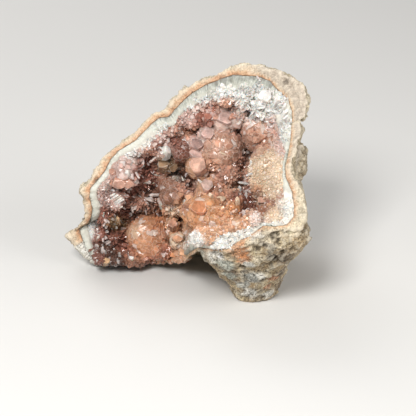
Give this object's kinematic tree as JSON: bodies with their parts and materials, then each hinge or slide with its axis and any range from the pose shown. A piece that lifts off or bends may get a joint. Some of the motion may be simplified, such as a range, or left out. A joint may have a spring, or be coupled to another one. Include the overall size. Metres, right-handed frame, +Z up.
{
  "type": "pink amethyst geode specimen",
  "caption": "Broken piece of a geode standing on its rock: cream rind, white quartz band and a hollow crusted with pink amethyst.",
  "frame": {"origin": "under the middle of the whole piece, on the surface it stands on", "axes": "+Z up, -Y out of the hollow towards the viewer, +X to the viewer's right"},
  "size_m": [0.0976, 0.0864, 0.0855],
  "materials": {
    "host_rock": "rough broken volcanic rock, cream to ochre, with grey crevices",
    "white_chalcedony": "waxy white to grey quartz, dull on the break",
    "pink_amethyst": "glassy pink, salmon and brown quartz crystals, cloudy inside"
  },
  "bodies": {
    "root": {"rock_rind": "host_rock", "chalcedony_band": "white_chalcedony", "amethyst_crust": "pink_amethyst"}
  },
  "joints": []
}
